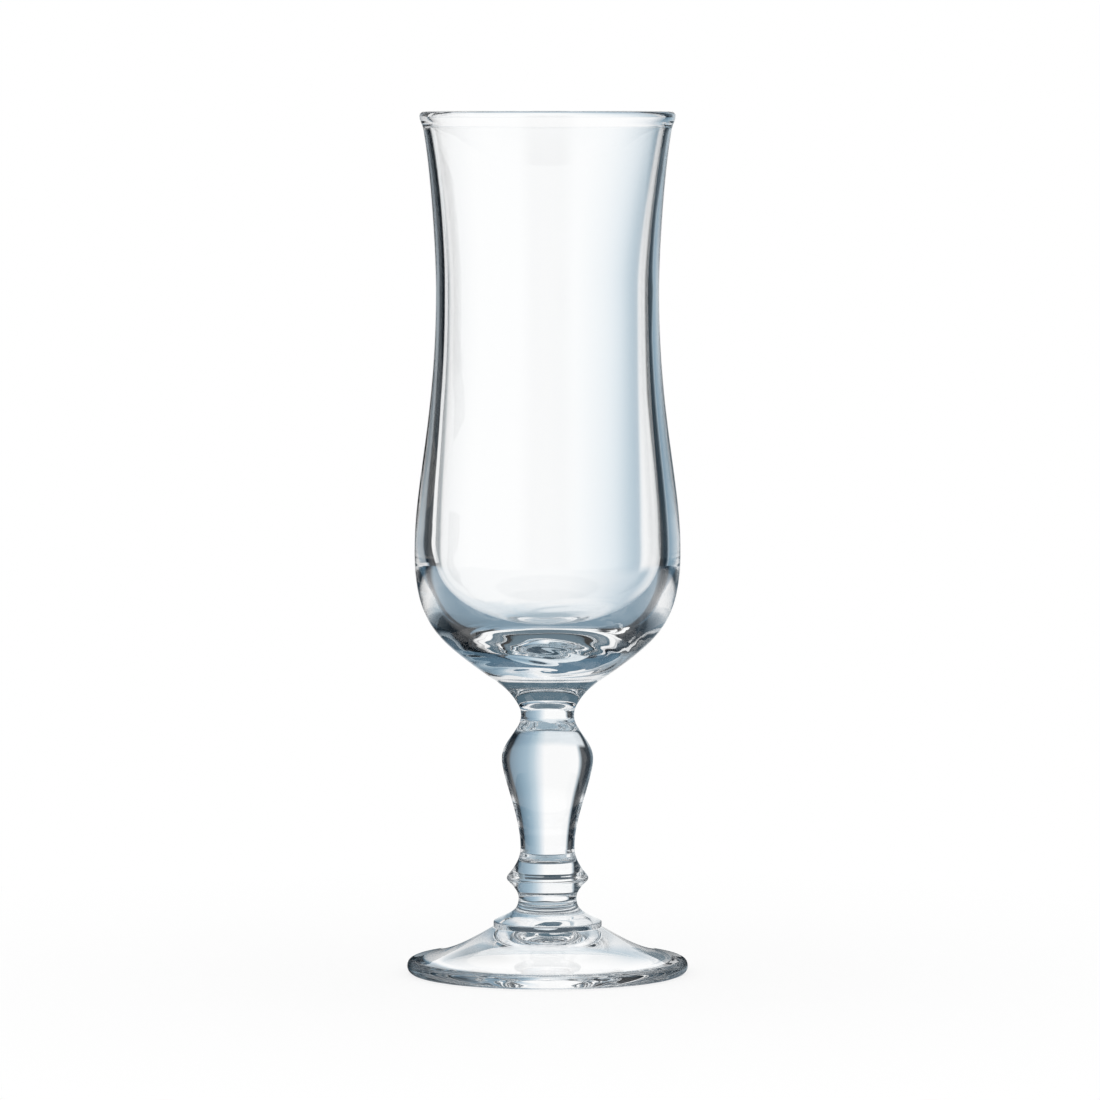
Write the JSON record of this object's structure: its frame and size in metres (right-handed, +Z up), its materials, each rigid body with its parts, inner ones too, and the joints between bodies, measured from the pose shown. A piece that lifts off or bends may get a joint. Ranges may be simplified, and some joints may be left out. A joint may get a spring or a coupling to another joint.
{
  "type": "champagne glass",
  "caption": "Small clear flute for sparkling drinks: tall waisted bowl with a flared mouth and rim bead, baluster stem with a ring knop, round domed foot.",
  "frame": {"origin": "centre of the flat ring under the foot, on the table", "axes": "+Z up along the axis of the glass, towards the rim; +X and +Y are free, because the glass is round"},
  "size_m": [0.0572, 0.0572, 0.175],
  "materials": {
    "clear_glass": "clear fire-polished soda-lime glass, faintly blue in its thick parts"
  },
  "bodies": {
    "root": {"foot": "clear_glass", "base_knop": "clear_glass", "ring_knop": "clear_glass", "baluster": "clear_glass", "neck_collar": "clear_glass", "bowl": "clear_glass"}
  },
  "joints": []
}
